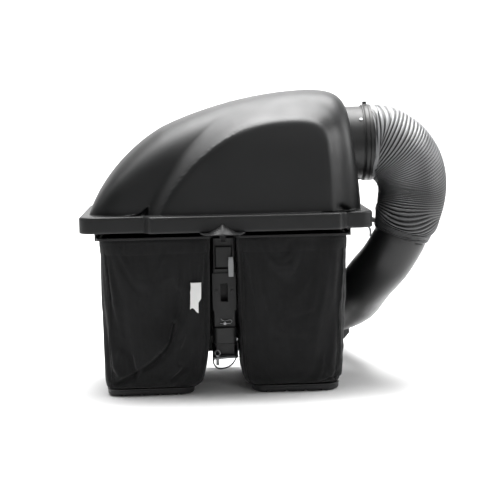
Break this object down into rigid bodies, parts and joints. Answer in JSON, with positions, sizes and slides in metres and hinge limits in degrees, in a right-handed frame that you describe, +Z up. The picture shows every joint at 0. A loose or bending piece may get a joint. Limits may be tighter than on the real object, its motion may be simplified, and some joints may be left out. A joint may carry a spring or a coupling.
{
  "type": "twin bag grass and leaf collector",
  "caption": "Rear collector for a ride-on mower: moulded hood over hanging fabric bags with trays, centre post and hitch, corrugated suction hose and a chute to the deck.",
  "frame": {"origin": "middle of the mount plate's front face, where the mower carries the collector", "axes": "+Y forward to the mower out of the mount plate, +Z up, +X to the right seen from behind"},
  "size_m": [1.2578, 1.0151, 1.0179],
  "materials": {
    "hood_plastic": "moulded black plastic, satin sheen",
    "black_plastic": "moulded black plastic",
    "bag_fabric": "coarse black woven polyester",
    "tray_plastic": "smooth dark polyethylene",
    "hose_plastic": "ribbed grey-black vinyl",
    "label_sheet": "blank white sheet",
    "lanyard_cord": "black coated cord",
    "grey_steel": "grey primer paint",
    "black_steel": "black powder coat",
    "zinc_steel": "bright zinc plate"
  },
  "bodies": {
    "frame": {"latch_panel": "black_plastic", "post_coupler": "black_plastic", "deck_adapter": "black_plastic", "chute_tube": "tray_plastic", "suction_hose": "hose_plastic", "lanyard": "lanyard_cord", "hitch_plate": "grey_steel", "mount_plate": "black_steel", "gusset_left": "black_steel", "gusset_right": "black_steel", "latch_strike": "black_steel", "hinge_bracket_left": "black_steel", "hinge_bracket_right": "black_steel", "rear_crossbar": "black_steel", "front_crossbar": "black_steel", "left_side_tube": "black_steel", "right_side_tube": "black_steel", "centre_beam": "black_steel", "left_outer_rail": "black_steel", "left_inner_rail": "black_steel", "right_outer_rail": "black_steel", "right_inner_rail": "black_steel", "support_post": "black_steel", "height_plate": "black_steel", "latch_housing": "black_steel", "lower_hose_clamp": "black_steel", "lower_clamp_screw": "black_steel", "hinge_pin_left": "zinc_steel", "hinge_pin_right": "zinc_steel", "inner_post": "zinc_steel", "height_bolt_left": "zinc_steel", "height_bolt_right": "zinc_steel", "lever_bolt": "zinc_steel", "post_pin": "zinc_steel", "lanyard_eye": "zinc_steel", "chute_hanger": "zinc_steel"},
    "hood": {"hood_shell": "hood_plastic", "inlet_collar": "black_plastic", "hose_cuff": "black_plastic", "upper_hose_clamp": "black_steel", "upper_clamp_screw": "black_steel", "collar_rivet_1": "zinc_steel", "collar_rivet_2": "zinc_steel", "collar_rivet_3": "zinc_steel", "hood_grip": "hood_plastic", "latch_bracket": "black_steel", "latch_pin": "black_steel", "hinge_strap_left": "black_steel", "hinge_strap_right": "black_steel"},
    "hood_latch": {"latch_lever": "black_steel"},
    "left_bag": {"left_bag_fabric": "bag_fabric", "left_bag_rim": "black_steel", "left_bag_tray": "tray_plastic", "bag_label": "label_sheet"},
    "right_bag": {"right_bag_fabric": "bag_fabric", "right_bag_rim": "black_steel", "right_bag_tray": "tray_plastic"},
    "lock_lever": {"lock_lever": "zinc_steel"},
    "hairpin_clip": {"hairpin_clip": "zinc_steel"},
    "hitch_pin": {"hitch_pin": "zinc_steel"}
  },
  "joints": [
    {"name": "hood_hinge", "type": "hinge", "parent": "frame", "child": "hood", "pos_m": [0, 0.096, 0.47], "axis": [-1, 0, 0], "range_deg": [0, 60]},
    {"name": "latch_pivot", "type": "hinge", "parent": "hood", "child": "hood_latch", "pos_m": [-0.004, -0.574, 0.423], "axis": [-1, 0, 0], "range_deg": [0, 35], "stiffness_Nm_per_rad": 0.3},
    {"name": "left_bag_slide", "type": "slide", "parent": "frame", "child": "left_bag", "axis": [0, -1, 0], "range_m": [0, 0.45]},
    {"name": "right_bag_slide", "type": "slide", "parent": "frame", "child": "right_bag", "axis": [0, -1, 0], "range_m": [0, 0.45]},
    {"name": "lock_lever_pivot", "type": "hinge", "parent": "frame", "child": "lock_lever", "pos_m": [0.024, -0.434, 0.322], "axis": [0, 1, 0], "range_deg": [0, 70]},
    {"name": "hairpin_pull", "type": "slide", "parent": "frame", "child": "hairpin_clip", "axis": [1, 0, 0], "range_m": [0, 0.02]},
    {"name": "hitch_pin_pull", "type": "slide", "parent": "frame", "child": "hitch_pin", "axis": [0, 0, 1], "range_m": [0, 0.03]}
  ]
}
